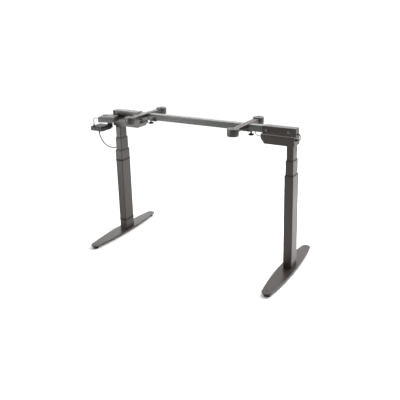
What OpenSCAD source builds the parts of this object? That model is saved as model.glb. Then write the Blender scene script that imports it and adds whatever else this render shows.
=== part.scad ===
// Underframe of an electric height adjustable desk: two three-stage lifting columns
// on flat feet, joined by a crossbar that carries two cross arms for the desk top.
// Millimetres. +X runs along the crossbar, +Y to the back, +Z up, floor at Z = 0.

/* [Overall] */
// Distance between the centre lines of the two columns
leg_spacing = 1134; // [1060:1:1700]
// Height of the rail tops above the floor at rest
frame_top = 809; // [780:1:900]
// Distance of the columns behind the middle of the feet
column_y = 27; // [0:1:60]

/* [Feet] */
// Length of a foot from tip to tip
foot_len = 618; // [560:1:760]
// Width of a foot at its middle
foot_w = 92; // [86:1:120]
// Radius of the rounded tips
foot_tip_r = 27; // [22:1:32]
// Thickness of the foot plate
foot_t = 8; // [6:1:12]
// Height of the top of the foot plate above the floor
foot_top = 25; // [22:1:32]
// Diameter of a leveller pad
leveller_d = 32; // [24:1:44]
// Height of a leveller pad
leveller_h = 6; // [4:1:7]
// Diameter of the leveller thread
leveller_stud_d = 8; // [6:1:10]

/* [Columns] */
// Width of the outer tube along X
outer_w = 50; // [50:1:70]
// Depth of the outer tube along Y
outer_d = 80; // [78:1:110]
// Wall of the outer tube
outer_wall = 2; // [1.5:0.1:2.2]
// Height of the top of the outer tube
outer_top = 550; // [530:1:560]
// Width of the middle tube along X
middle_w = 43; // [42:0.5:44]
// Depth of the middle tube along Y
middle_d = 70; // [69:0.5:73]
// Wall of the middle and upper tubes
inner_wall = 1.6; // [1.4:0.1:1.8]
// Length of the middle tube
middle_len = 505; // [480:1:510]
// Height of the top of the middle tube at rest
middle_top = 630; // [620:1:640]
// Width of the upper tube along X
upper_w = 37; // [36:0.5:38]
// Depth of the upper tube along Y
upper_d = 61; // [58:0.5:63]
// Height of the bottom end of the upper tube at rest
upper_bottom = 212; // [205:1:230]
// Corner radius of the tubes
tube_r = 4; // [3:0.5:5]

/* [Lifting screws] */
// Diameter of the driven screw
screw_d = 10; // [8:0.5:10.4]
// Outer diameter of the hollow screw
hollow_d = 17; // [16:0.5:18]
// Outer diameter of the standing tube that holds the base nut
base_tube_d = 24; // [22:0.5:24.5]
// Height of the top of the standing tube
base_tube_top = 500; // [460:1:505]
// Outer diameter of the push tube
push_d = 30.4; // [29:0.2:32]
// Diameter of the worm wheel
wheel_d = 28; // [24:1:28]
// Diameter of the motor can
motor_d = 35; // [30:1:36]
// Length of the motor can
motor_len = 112; // [80:1:116]

/* [Head] */
// Depth of the side rails along Y
rail_d = 46; // [43:1:60]
// Height of the side rails
rail_h = 44.7; // [43:0.1:60]
// Wall of the side rails
rail_wall = 2.5; // [2:0.1:3]
// Distance of the rail's middle behind the middle of the feet
rail_y = 7; // [0:1:15]
// Reach of the left rail beyond its column
left_rail_out = 11; // [5:1:40]
// Reach of the right rail beyond its column
right_rail_out = 36; // [5:1:60]
// Reach of the left rail towards the middle
left_rail_in = 172; // [150:1:180]
// Reach of the right rail towards the middle
right_rail_in = 150; // [150:1:180]
// Depth of the motor housings along Y
housing_d = 80; // [76:1:100]
// Height of the motor housings
housing_h = 49.3; // [48:0.1:56]
// Wall of the motor housings
housing_wall = 2.5; // [2:0.1:3]

/* [Crossbar and arms] */
// Depth of the crossbar along Y
bar_d = 38; // [30:1:40]
// Height of the crossbar
bar_h = 35; // [28:1:38]
// Wall of the crossbar
bar_wall = 2; // [1.5:0.1:3]
// Length of crossbar inside each side rail
bar_lap = 60; // [50:1:90]
// Distance of the left arm from its column
left_arm_in = 224; // [205:1:400]
// Distance of the right arm from its column
right_arm_in = 250; // [190:1:400]
// Distance between the screw holes of the two pads of an arm
pad_spacing = 310; // [220:1:420]
// Width of an arm
arm_w = 34; // [30:1:40]
// Height of an arm
arm_h = 19; // [17:1:22]
// Sheet thickness of the arms
arm_wall = 2.7; // [2:0.1:2.7]
// Diameter of an end pad
pad_d = 61.4; // [54:0.2:76]
// Height of an end pad
pad_h = 39; // [34:1:46]
// How far the pads stand above the arms
pad_rise = 4; // [2:0.5:8]
// Diameter of the screw holes for the desk top
top_screw_d = 6.5; // [5:0.5:8]
// Diameter of a thumbscrew knob
knob_d = 33; // [24:1:40]

/* [Control box and handset] */
// Length of the control box
box_l = 99; // [90:1:130]
// Depth of the control box
box_d = 94; // [80:1:100]
// Height of the control box
box_h = 33; // [30:1:40]
// Turn of the control box about the vertical
box_turn = 18; // [0:1:25]
// Width of the handset
handset_w = 95; // [85:1:110]
// Depth of the handset
handset_d = 95; // [80:1:95]
// Height of the handset
handset_h = 26; // [22:1:30]
// Wall of the plastic shells
shell_wall = 2.5; // [2:0.1:3]

/* [Hidden] */
$fn = 48;
// Clearances: sliding and turning pieces, pieces that are pushed together
run_gap = 0.3;
fit_gap = 0.1;
// Places along X, with the origin half way between the outermost faces
handset_reach = 83.5;
left_end = -leg_spacing / 2 - handset_reach - handset_w / 2;
right_end = leg_spacing / 2 + right_rail_out;
frame_x = -(left_end + right_end) / 2;
left_x = frame_x - leg_spacing / 2;
right_x = frame_x + leg_spacing / 2;
// Foot outline
foot_tip_y = foot_len / 2 - foot_tip_r;
foot_bulge = foot_w / 2 - foot_tip_r;
foot_arc_r = (foot_tip_y * foot_tip_y + foot_bulge * foot_bulge) / (2 * foot_bulge);
// Weld nut under the foot plate
weld_nut_d = 2 * leveller_stud_d;
weld_nut_h = 5;
leveller_stud_top = foot_top - 0.5;
// Base flange of the outer tube and its screws
flange_t = 8;
foot_screw_d = 8;
foot_screw_x = outer_w / 2 - 10;
foot_screw_y = outer_d / 2 - 12;
strap_t = 2;
strap_h = [12, 12];
strap_z = [80, 481];
// Plastic glides at the tube mouths
glide_depth = 60;
glide_lip = 3;
// Lifting screws
nut_h = 20;
screw_bottom = 190;
hollow_bottom = 110;
hollow_wall = 3;
base_tube_wall = (base_tube_d - hollow_d) / 2 - run_gap - 1.5;
push_bore_d = base_tube_d + 1;
push_top = 592;
push_cap_t = 6;
push_plate_t = 4;
// Head
plate_t = 3;
head_plate_z = frame_top - rail_h - plate_t;
housing_bottom = head_plate_z - housing_h;
tube_seat_z = housing_bottom + housing_wall + 2;
housing_out = 26;
housing_over = 10;
housing_bevel = [19, 28];
plate_lip = 3;
motor_gap = 0.8;
wheel_t = 10;
worm_d = 10;
worm_shaft_d = 6;
worm_y = column_y + wheel_d / 2 + worm_d / 2 + run_gap;
worm_z = head_plate_z - motor_gap - motor_d / 2;
wheel_z = worm_z - wheel_t / 2;
case_w = 46;
case_t = 4;
// Crossbar: it lies half a millimetre under the inner face of the rail tops
bar_top = frame_top - rail_wall - 0.5;
bar_y = rail_y + 1;
bar_left = left_x + left_rail_in - bar_lap;
bar_right = right_x - right_rail_in + bar_lap;
bar_front = bar_y - bar_d / 2;
bar_back = bar_y + bar_d / 2;
bar_bottom = bar_top - bar_h;
cable_hole_d = 10;
cable_hole_y = [6, 18];
left_cable_hole_x = -324;
right_cable_hole_x = 414;
// Bolts through rails and crossbar
bolt_d = 8;
bolt_head_d = 14;
bolt_head_h = 4;
bolt_nut_h = 6;
bolt_inset = 24;
slot_len = 18;
slot_x = 42;
// Arms, pads and clamps
left_arm_x = left_x + left_arm_in;
right_arm_x = right_x - right_arm_in;
arm_top = bar_top + run_gap + arm_wall;
arm_overrun = 12;
arm_len = pad_spacing + 2 * arm_overrun;
arm_hole_d = 9;
arm_hole_y = 116;
clamp_t = 3;
clamp_top = bar_bottom - run_gap;
clamp_ear = 38;
knob_x = 25;
stem_d = 6;
knob_h = 11;
knob_top = clamp_top - clamp_t - 14;
clip_x = 44;
clip_w = 40;
// Control box, handset and the bracket that carries them
box_x = left_x - 6;
box_y = -77.5;
box_z = frame_top - 24 - box_h;
box_seam = 12;
inlet_x = 40;
inlet_z = 8;
inlet_w = 28;
inlet_h = 20;
box_bevel = 9;
handset_x = left_x - handset_reach;
handset_front = -110;
handset_back = handset_front + handset_d;
handset_z = box_z - 36 - handset_h;
handset_seam = 8;
button_w = 16;
button_h = 9;
button_stand = 2;
button_len = 12;
button_pitch = 24;
bracket_t = 3;
rail_front = rail_y - rail_d / 2;
// Cables: diameters and the points that they follow
link_d = 5;
cord_d = 6;
motor_cable_d = 4;
cord_sides = 8;
// Lengths of the glands and plugs that the cables end in
link_gland_l = 18.3;
link_plug_l = 12;
cord_relief_l = 10;
cord_plug_l = 10;
left_gland_l = 6.5;
right_gland_l = 10.5;
end_gland_l = 4.5;
end_plug_l = 11.5;
link_path = [
    [-590, -98.5, 769], [-594, -100, 769], [-598, -101, 769], [-602, -102, 769],
    [-606, -102.5, 769], [-610, -103, 769], [-614, -103, 768.5], [-618, -102.5, 767],
    [-621.5, -102, 765], [-624.5, -101, 762], [-626.5, -100, 758.5], [-627.5, -99, 754.5],
    [-628, -98, 750], [-628, -98, 745], [-628, -98, 740], [-628, -98, 734], [-628, -98, 728]
];
handset_path = [
    [-586, -100, 680], [-586, -100, 671], [-585, -98, 660], [-584, -92, 646], [-583, -82, 626],
    [-582, -68, 606], [-580, -50, 588], [-578, -28, 573], [-577, -4, 562], [-576, 22, 556],
    [-575, 48, 554], [-571, 70, 556], [-562, 84, 563], [-551, 91, 576], [-543, 93, 596],
    [-540, 93, 620], [-539, 93, 650], [-538, 92, 680], [-537, 92, 706], [-536, 92, 722],
    [-535, 89, 734], [-535, 82, 738], [-535, 77, 738]
];
left_cable_path = [
    [-331, 2, 746], [-328, 2, 746], [-323, 2, 745.5], [-318, 2, 744.5], [-313, 2, 743.5],
    [-308, 2, 743.5], [-303.5, 2.5, 744], [-300, 5, 745.5], [-298, 8.5, 747.5],
    [-298, 12.5, 750], [-300.5, 16, 752], [-304.5, 18, 754], [-309, 18.5, 755.5],
    [-313, 18, 756.5], [-316, 18, 757.4], [-318.7, 18, 758.5], [-320.9, 18, 760.3],
    [-322.5, 18, 762.4], [-323.6, 18, 765], [-324, 18, 767.6], [-324, 18, 769]
];
right_cable_path = [
    [444, 6, 746], [441, 6, 746], [437, 6, 746], [433, 6, 746.5], [429, 6, 747.5],
    [425.5, 6, 749], [422.5, 6, 751], [420, 6, 753.5], [417.5, 6, 756.5], [415.5, 6, 760],
    [414.5, 6, 763], [414, 6, 766], [414, 6, 769]
];
end_cable_path = [
    [655, 8, 776], [657, 8, 776], [660, 8, 775], [662.5, 8.5, 773], [664.5, 9, 770],
    [666, 9.5, 766.5], [667, 10, 762.5], [667, 10.5, 758], [666.5, 11, 754], [665, 11, 750.5],
    [662.5, 11.5, 747], [660, 12, 745], [657.5, 12, 743.5], [654.5, 12, 743], [652, 12, 743]
];

// ---------- shared shapes ----------

// Stands its children at a column, with local +X pointing away from the crossbar
module at_column(side) {
    translate([side < 0 ? left_x : right_x, 0, 0])
        mirror([side < 0 ? 1 : 0, 0, 0])
            children();
}

module rounded_rect(w, d, r) {
    square([w - 2 * r, d], center = true);
    square([w, d - 2 * r], center = true);
    for (x = [-1, 1], y = [-1, 1])
        translate([x * (w / 2 - r), y * (d / 2 - r)])
            circle(r);
}

// Rectangular tube between two heights, centred on the column
module column_tube(w, d, wall, low, high) {
    translate([0, column_y, low])
        linear_extrude(high - low)
            difference() {
                rounded_rect(w, d, tube_r);
                rounded_rect(w - 2 * wall, d - 2 * wall, tube_r - wall);
            }
}

// Round tube between two heights on the column's axis
module axis_tube(outer, bore, low, high) {
    translate([0, column_y, low])
        difference() {
            cylinder(d = outer, h = high - low);
            translate([0, 0, -1])
                cylinder(d = bore, h = high - low + 2);
        }
}

// ---------- feet ----------

module foot_outline() {
    intersection() {
        translate([foot_w / 2 - foot_arc_r, 0])
            circle(foot_arc_r, $fn = 1440);
        translate([foot_arc_r - foot_w / 2, 0])
            circle(foot_arc_r, $fn = 1440);
        square([foot_w, 2 * foot_tip_y], center = true);
    }
    for (s = [-1, 1])
        translate([0, s * foot_tip_y])
            circle(foot_tip_r);
}

// Places its children at the four screws of the base flange
module each_foot_screw() {
    for (x = [-1, 1], y = [-1, 1])
        translate([x * foot_screw_x, column_y + y * foot_screw_y, 0])
            children();
}

// Countersunk screw from under the foot plate into the base flange
module foot_screw(gap) {
    translate([0, 0, foot_top - foot_t - 0.01])
        cylinder(d1 = 2 * foot_screw_d + 2 * gap, d2 = foot_screw_d + 2 * gap, h = foot_screw_d / 2);
    translate([0, 0, foot_top - foot_t])
        cylinder(d = foot_screw_d + 2 * gap, h = foot_t + flange_t);
}

module foot(side) {
    color("#4a4744")
        at_column(side)
            difference() {
                union() {
                    translate([0, 0, foot_top - foot_t])
                        linear_extrude(foot_t)
                            foot_outline();
                    for (s = [-1, 1])
                        translate([0, s * foot_tip_y, foot_top - foot_t - weld_nut_h])
                            cylinder(d = weld_nut_d, h = weld_nut_h + 1);
                }
                for (s = [-1, 1])
                    translate([0, s * foot_tip_y, 0])
                        cylinder(d = leveller_stud_d + 2 * run_gap, h = foot_top + 1);
                each_foot_screw()
                    foot_screw(fit_gap);
            }
}

module foot_screws(side) {
    color("#8d8f92")
        at_column(side)
            each_foot_screw()
                difference() {
                    foot_screw(0);
                    translate([0, 0, foot_top - foot_t - 1])
                        cylinder(d = foot_screw_d * 0.6, h = 4, $fn = 6);
                }
}

// Screw leveller: round pad and stud with a hexagon socket in its top
module leveller(side, end) {
    color("#1d1d1e")
        at_column(side)
            translate([0, end * foot_tip_y, 0]) {
                difference() {
                    rotate_extrude()
                        polygon([
                            [0, 0], [leveller_d / 2 - 1, 0], [leveller_d / 2, 1],
                            [leveller_d / 2, leveller_h - 2], [leveller_d / 2 - 3, leveller_h],
                            [leveller_stud_d / 2, leveller_h],
                            [leveller_stud_d / 2, leveller_stud_top], [0, leveller_stud_top]
                        ]);
                    translate([0, 0, leveller_stud_top - 4])
                        cylinder(d = leveller_stud_d * 0.55, h = 5, $fn = 6);
                }
            }
}

// ---------- columns ----------

module outer_tube(side) {
    color("#3d3a37")
        at_column(side) {
            column_tube(outer_w, outer_d, outer_wall, foot_top, outer_top);
            difference() {
                translate([0, column_y, foot_top])
                    linear_extrude(flange_t)
                        rounded_rect(outer_w - outer_wall, outer_d - outer_wall, tube_r);
                translate([0, column_y, foot_top - 1])
                    cylinder(d = base_tube_d + 2 * fit_gap, h = flange_t + 2);
                each_foot_screw()
                    foot_screw(fit_gap);
            }
        }
}

// Plastic sleeve with a thin lip, pushed into the mouth of the tube outside it
module glide(tube_w, tube_d, tube_wall, inside_w, inside_d, top) {
    column_glide_r = tube_r - tube_wall;
    translate([0, column_y, top - glide_depth])
        linear_extrude(glide_depth)
            difference() {
                rounded_rect(tube_w - 2 * (tube_wall + fit_gap), tube_d - 2 * (tube_wall + fit_gap),
                    column_glide_r);
                rounded_rect(inside_w + 2 * run_gap, inside_d + 2 * run_gap, tube_r + run_gap);
            }
    translate([0, column_y, top])
        linear_extrude(glide_lip)
            difference() {
                rounded_rect(tube_w - 1, tube_d - 1, tube_r - 0.5);
                rounded_rect(inside_w + 2 * run_gap, inside_d + 2 * run_gap, tube_r + run_gap);
            }
}

module outer_glide(side) {
    color("#161616")
        at_column(side)
            glide(outer_w, outer_d, outer_wall, middle_w, middle_d, outer_top);
}

module middle_tube(side) {
    color("#47433f")
        at_column(side)
            column_tube(middle_w, middle_d, inner_wall, middle_top - middle_len, middle_top);
}

module middle_glide(side) {
    color("#161616")
        at_column(side)
            glide(middle_w, middle_d, inner_wall, upper_w, upper_d, middle_top);
}

module upper_tube(side) {
    color("#4d4945")
        at_column(side)
            column_tube(upper_w, upper_d, inner_wall, upper_bottom, tube_seat_z);
}

// Two hook-and-loop bands round the left outer tube
module left_straps() {
    color("#121212")
        at_column(-1)
            for (i = [0, 1])
                translate([0, column_y, strap_z[i]])
                    linear_extrude(strap_h[i])
                        difference() {
                            rounded_rect(outer_w + 2 * strap_t, outer_d + 2 * strap_t,
                                tube_r + strap_t);
                            rounded_rect(outer_w, outer_d, tube_r);
                        }
}

// ---------- lifting screws ----------

// Standing tube with the base nut in its top
module base_tube(side) {
    color("#8d8f92")
        at_column(side) {
            axis_tube(base_tube_d, base_tube_d - 2 * base_tube_wall, foot_top, base_tube_top);
            axis_tube(base_tube_d - base_tube_wall, hollow_d + 2 * run_gap,
                base_tube_top - nut_h, base_tube_top);
        }
}

module hollow_screw(side) {
    color("#9c9ea0")
        at_column(side)
            axis_tube(hollow_d, hollow_d - 2 * hollow_wall, hollow_bottom,
                push_top - push_cap_t - fit_gap);
}

// Tube that ties the middle tube's bottom plate to the top of the hollow screw
module push_tube(side) {
    color("#8d8f92")
        at_column(side) {
            axis_tube(push_d, push_bore_d, middle_top - middle_len, push_top);
            axis_tube(push_d - 1, screw_d + 2 * run_gap, push_top - push_cap_t, push_top);
            translate([0, column_y, middle_top - middle_len])
                linear_extrude(push_plate_t)
                    difference() {
                        rounded_rect(middle_w - 2 * (inner_wall + fit_gap),
                            middle_d - 2 * (inner_wall + fit_gap), tube_r - inner_wall);
                        circle(d = push_bore_d);
                    }
        }
}

module drive_screw(side) {
    color("#a5a7a9")
        at_column(side)
            translate([0, column_y, screw_bottom])
                cylinder(d = screw_d, h = wheel_z + wheel_t + 6 - screw_bottom);
}

// Worm wheel with notched rim
module worm_wheel(side) {
    color("#b08d4a")
        at_column(side)
            translate([0, column_y, wheel_z])
                difference() {
                    cylinder(d = wheel_d, h = wheel_t);
                    translate([0, 0, -1])
                        cylinder(d = screw_d + 2 * fit_gap, h = wheel_t + 2);
                    for (i = [0 : 23])
                        rotate([0, 0, i * 15])
                            translate([wheel_d / 2, 0, -1])
                                cylinder(d = 2, h = wheel_t + 2);
                }
}

// Motor shafts with the worm turned on them
module worm_shafts() {
    color("#a5a7a9")
        for (side = [-1, 1])
            at_column(side)
                translate([0, worm_y, worm_z])
                    rotate([0, -90, 0]) {
                        translate([0, 0, -case_w / 2 + case_t + 1])
                            cylinder(d = worm_shaft_d, h = case_w + motor_len - 20);
                        for (i = [-3 : 3])
                            translate([0, 0, 3.2 * i - 0.9])
                                cylinder(d = worm_d, h = 1.8);
                        translate([0, 0, -12])
                            cylinder(d = worm_d - 2.5, h = 24);
                    }
}

// Gear cases on top of the columns, each with its motor can beside it
module gearmotors() {
    color("#5b5d60")
        for (side = [-1, 1])
            at_column(side)
                gearmotor();
}

module gearmotor() {
    case_low = tube_seat_z;
    case_high = head_plate_z - 2;
    case_front = column_y - wheel_d / 2 - case_t - 2;
    case_back = worm_y + worm_d / 2 + case_t;
    difference() {
        union() {
            translate([-case_w / 2, case_front, case_low])
                cube([case_w, case_back - case_front, case_high - case_low]);
            translate([-case_w / 2 + 1, worm_y, worm_z])
                rotate([0, -90, 0])
                    cylinder(d = motor_d, h = motor_len + 1);
        }
        translate([0, column_y, case_low - 1])
            cylinder(d = screw_d + 2 * run_gap, h = case_high - case_low);
        translate([0, column_y, wheel_z - 1])
            cylinder(d = wheel_d + 2, h = wheel_t + 8);
        translate([case_w / 2 - case_t, worm_y, worm_z])
            rotate([0, -90, 0])
                cylinder(d = worm_d + 2, h = case_w - 2 * case_t);
        translate([0, worm_y, worm_z])
            rotate([0, -90, 0])
                cylinder(d = worm_shaft_d + 2 * fit_gap, h = motor_len + case_w / 2 - 10);
    }
}

// ---------- head ----------

function rail_in(side) = side < 0 ? left_rail_in : right_rail_in;
function rail_out(side) = side < 0 ? left_rail_out : right_rail_out;
function housing_in(side) = rail_in(side) + housing_over;

// Side view of the housing, grown inwards by a wall
module housing_side(side, wall) {
    inner = -housing_in(side) + wall;
    low = housing_bottom + wall;
    polygon([
        [housing_out - wall, head_plate_z + (wall > 0 ? 1 : 0)],
        [inner, head_plate_z + (wall > 0 ? 1 : 0)],
        [inner, low + housing_bevel[1] - wall],
        [inner + housing_bevel[0] - wall / 2, low],
        [housing_out - wall, low]
    ]);
}

// Sheet metal tub that hangs under the head plate
module motor_housing(side) {
    color("#3b3835")
        at_column(side)
            difference() {
                translate([0, column_y + housing_d / 2, 0])
                    rotate([90, 0, 0])
                        linear_extrude(housing_d)
                            housing_side(side, 0);
                translate([0, column_y + housing_d / 2 - housing_wall, 0])
                    rotate([90, 0, 0])
                        linear_extrude(housing_d - 2 * housing_wall)
                            housing_side(side, housing_wall);
                translate([0, column_y, housing_bottom - 1])
                    linear_extrude(housing_wall + 2)
                        rounded_rect(upper_w + 2 * fit_gap, upper_d + 2 * fit_gap, tube_r);
            }
}

// Side rail: square tube closed at its outer end, welded on the head plate
module rail(side) {
    length = rail_in(side) + rail_out(side);
    color("#44413e")
        at_column(side) {
            difference() {
                translate([-rail_in(side), rail_y - rail_d / 2, frame_top - rail_h])
                    cube([length, rail_d, rail_h]);
                translate([-rail_in(side) - 1, rail_y - rail_d / 2 + rail_wall,
                        frame_top - rail_h + rail_wall])
                    cube([length - rail_wall + 1, rail_d - 2 * rail_wall, rail_h - 2 * rail_wall]);
                rail_bolt_holes(side);
                translate([-rail_in(side) + slot_x, rail_front - 1, bar_top - bar_h / 2])
                    rotate([-90, 0, 0])
                        slot_cut(rail_wall + 2);
            }
            translate([-housing_in(side), column_y - housing_d / 2 - plate_lip, head_plate_z])
                cube([housing_in(side) + min(housing_out, rail_out(side)),
                    housing_d + 2 * plate_lip, plate_t]);
        }
}

module slot_cut(depth) {
    linear_extrude(depth) {
        square([slot_len - bolt_d, bolt_d], center = true);
        for (s = [-1, 1])
            translate([s * (slot_len - bolt_d) / 2, 0])
                circle(d = bolt_d);
    }
}

function bolt_places(side) = [-rail_in(side) + bolt_inset, -4];

module rail_bolt_holes(side) {
    for (x = bolt_places(side))
        translate([x, rail_front - 1, bar_top - bar_h / 2])
            rotate([-90, 0, 0])
                cylinder(d = bolt_d + 2 * fit_gap, h = rail_d + 2);
}

// Button head bolts through the rails, with their nuts behind
module rail_bolts() {
    color("#8d8f92")
        for (side = [-1, 1])
            at_column(side)
                for (x = bolt_places(side))
                    translate([x, rail_front, bar_top - bar_h / 2])
                        rotate([-90, 0, 0]) {
                            difference() {
                                translate([0, 0, -bolt_head_h])
                                    cylinder(d1 = bolt_head_d * 0.6, d2 = bolt_head_d,
                                        h = bolt_head_h);
                                translate([0, 0, -bolt_head_h - 1])
                                    cylinder(d = bolt_d * 0.6, h = 3, $fn = 6);
                            }
                            translate([0, 0, -0.5])
                                cylinder(d = bolt_d, h = rail_d + bolt_nut_h + 2);
                            translate([0, 0, rail_d])
                                cylinder(d = bolt_head_d, h = bolt_nut_h, $fn = 6);
                        }
}

module crossbar() {
    length = bar_right - bar_left;
    color("#6a6764")
        difference() {
            translate([bar_left, bar_front, bar_bottom])
                cube([length, bar_d, bar_h]);
            translate([bar_left - 1, bar_front + bar_wall, bar_bottom + bar_wall])
                cube([length + 2, bar_d - 2 * bar_wall, bar_h - 2 * bar_wall]);
            for (side = [-1, 1])
                at_column(side)
                    translate([-rail_in(side) + bolt_inset, bar_front - 1, bar_top - bar_h / 2])
                        rotate([-90, 0, 0])
                            cylinder(d = bolt_d + 2 * fit_gap, h = bar_d + 2);
            translate([left_cable_hole_x, cable_hole_y[1], bar_bottom - 1])
                cylinder(d = cable_hole_d, h = bar_wall + 2);
            translate([right_cable_hole_x, cable_hole_y[0], bar_bottom - 1])
                cylinder(d = cable_hole_d, h = bar_wall + 2);
        }
}

// ---------- arms ----------

module arm_body(grow, length) {
    translate([-arm_w / 2 - grow, -length / 2, arm_top - arm_h - grow])
        cube([arm_w + 2 * grow, length, arm_h + 2 * grow]);
}

// Inverted channel, notched where it sits over the crossbar
module arm(x) {
    color("#5d5a57")
        translate([x, 0, 0])
            difference() {
                arm_body(0, arm_len);
                translate([-arm_w / 2 + arm_wall, -arm_len, arm_top - arm_h - 1])
                    cube([arm_w - 2 * arm_wall, 2 * arm_len, arm_h - arm_wall + 1]);
                translate([-arm_w, bar_front - run_gap, arm_top - arm_h - 1])
                    cube([2 * arm_w, bar_d + 2 * run_gap, arm_h - arm_wall + 1]);
                for (s = [-1, 1]) {
                    translate([0, s * pad_spacing / 2, arm_top - arm_h])
                        cylinder(d = top_screw_d, h = arm_h + 1);
                    translate([-arm_w, s * arm_hole_y, arm_top - arm_h / 2])
                        rotate([0, 90, 0])
                            cylinder(d = arm_hole_d, h = 2 * arm_w);
                }
            }
}

// Round end pads, slotted over the arm ends and bored for the desk top screws
module arm_pads(x) {
    color("#2b2a29")
        translate([x, 0, 0])
            difference() {
                for (s = [-1, 1])
                    translate([0, s * pad_spacing / 2, arm_top + pad_rise - pad_h])
                        rotate_extrude()
                            polygon([
                                [0, 0], [pad_d / 2 - 1.5, 0], [pad_d / 2, 1.5],
                                [pad_d / 2, pad_h - 1.5], [pad_d / 2 - 1.5, pad_h], [0, pad_h]
                            ]);
                arm_body(fit_gap, arm_len + 2 * fit_gap);
                for (s = [-1, 1])
                    translate([0, s * pad_spacing / 2, arm_top + pad_rise - pad_h - 1]) {
                        cylinder(d = top_screw_d, h = pad_h + 2);
                        cylinder(d = 2.4 * top_screw_d, h = 7);
                    }
            }
}

// Strap plate round the underside of the crossbar, with an ear for the thumbscrew
module clamp(x, ear) {
    front = bar_front - run_gap - clamp_t;
    back = bar_back + run_gap;
    color("#3d3b39")
        translate([x, 0, 0]) {
            difference() {
                translate([-arm_w / 2, front, clamp_top - clamp_t])
                    cube([arm_w / 2 + clamp_ear, back + clamp_t - front, clamp_t]);
                translate([knob_x, bar_y, clamp_top - clamp_t - 1])
                    cylinder(d = stem_d + 2 * run_gap, h = clamp_t + 2);
            }
            for (y = [front, back])
                translate([-arm_w / 2, y, clamp_top - clamp_t])
                    cube([arm_w, clamp_t, arm_top - arm_h - clamp_top + clamp_t]);
            if (ear > 0)
                translate([0, front, clamp_top - clamp_t])
                    cube([ear, clamp_t, 12]);
        }
}

// Mushroom knob on a threaded stem
module thumbscrew(x) {
    color("#151515")
        translate([x + knob_x, bar_y, 0])
            rotate_extrude()
                polygon([
                    [0, knob_top - knob_h], [knob_d * 0.3, knob_top - knob_h],
                    [knob_d / 2 - 2, knob_top - knob_h + 3], [knob_d / 2, knob_top - knob_h + 6],
                    [knob_d / 2, knob_top - 3], [knob_d / 2 - 2, knob_top - 1],
                    [stem_d, knob_top], [stem_d * 0.75, knob_top + 8],
                    [stem_d / 2, knob_top + 9], [stem_d / 2, bar_bottom - run_gap],
                    [0, bar_bottom - run_gap]
                ]);
}

// Plastic clip that holds the cables against the left clamp
module left_cable_clip() {
    front = bar_front - run_gap - clamp_t;
    color("#151515")
        translate([left_arm_x + clip_x, front - 9, clamp_top - clamp_t]) {
            cube([clip_w, 9, 7]);
            translate([clip_w / 2 - 4, 3, 0])
                cube([8, 6, 20]);
            translate([clip_w / 2 - 4, -3, 16])
                cube([8, 8, 4]);
        }
}

// ---------- control box and handset ----------

// Stands its children at the control box, turned as it hangs
module at_box() {
    translate([box_x, box_y, box_z])
        rotate([0, 0, box_turn])
            children();
}

// End view of the box, drawn in X and Y and laid along its length
module box_side(wall) {
    front = -box_d / 2 + wall;
    back = box_d / 2 - wall;
    polygon([
        [front + box_bevel, wall], [back, wall], [back, box_h - wall],
        [front + box_bevel, box_h - wall], [front, box_h - wall - box_bevel],
        [front, wall + box_bevel]
    ]);
}

module box_shell(wall, length) {
    rotate([90, 0, 90])
        translate([0, 0, -length / 2])
            linear_extrude(length)
                box_side(wall);
}

module half_box(low, high) {
    difference() {
        intersection() {
            box_shell(0, box_l);
            translate([-box_l, -box_d, low])
                cube([2 * box_l, 2 * box_d, high - low]);
        }
        box_shell(shell_wall, box_l - 2 * shell_wall);
        translate([box_l / 2 - inlet_x, box_d / 2 - shell_wall - 1, inlet_z])
            cube([inlet_w, shell_wall + 2, inlet_h]);
    }
}

module control_box_base() {
    color("#8a8a88")
        at_box()
            half_box(0, box_seam);
}

module control_box_cover() {
    color("#a3a3a0")
        at_box()
            half_box(box_seam, box_h);
}

// Circuit board with its transformer, capacitors and the mains inlet
module control_board() {
    color("#2f5a3c")
        at_box() {
            translate([-box_l / 2 + 6, -box_d / 2 + 14, shell_wall])
                cube([box_l - 12, box_d - 20, inlet_z - shell_wall + 1]);
            translate([-box_l / 2 + 12, -6, inlet_z])
                cube([30, 30, 18]);
            translate([10, -18, inlet_z])
                cylinder(d = 14, h = 18);
            translate([28, -18, inlet_z])
                cylinder(d = 10, h = 15);
            difference() {
                translate([box_l / 2 - inlet_x + fit_gap, box_d / 2 - 20, inlet_z + fit_gap])
                    cube([inlet_w - 2 * fit_gap, 20, inlet_h - 2 * fit_gap]);
                translate([box_l / 2 - inlet_x + 3, box_d / 2 - 14, inlet_z + 3])
                    cube([inlet_w - 6, 15, inlet_h - 6]);
            }
        }
}

// Bent steel strip: bolted to the end of the left rail, with a shelf for the box
// and a tongue down the back of the handset
module hanger_bracket() {
    rail_end = left_x - left_rail_out;
    shelf_left = rail_end - 62;
    color("#3d3b39") {
        translate([rail_end - bracket_t, rail_front - 6, frame_top - rail_h + 2])
            cube([bracket_t, rail_d + 6, rail_h - 2]);
        translate([rail_end - 20, rail_front - 6, box_z - bracket_t])
            cube([20, bracket_t, frame_top - box_z + bracket_t - 26]);
        translate([rail_end - 48, box_y - 20, box_z - bracket_t])
            cube([48, rail_front - 3 - box_y + 20, bracket_t]);
        translate([shelf_left, handset_back - 40, box_z - bracket_t])
            cube([40, 40 + bracket_t, bracket_t]);
        translate([shelf_left, handset_back, handset_z + 6])
            cube([40, bracket_t, box_z - handset_z - 6]);
    }
}

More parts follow.
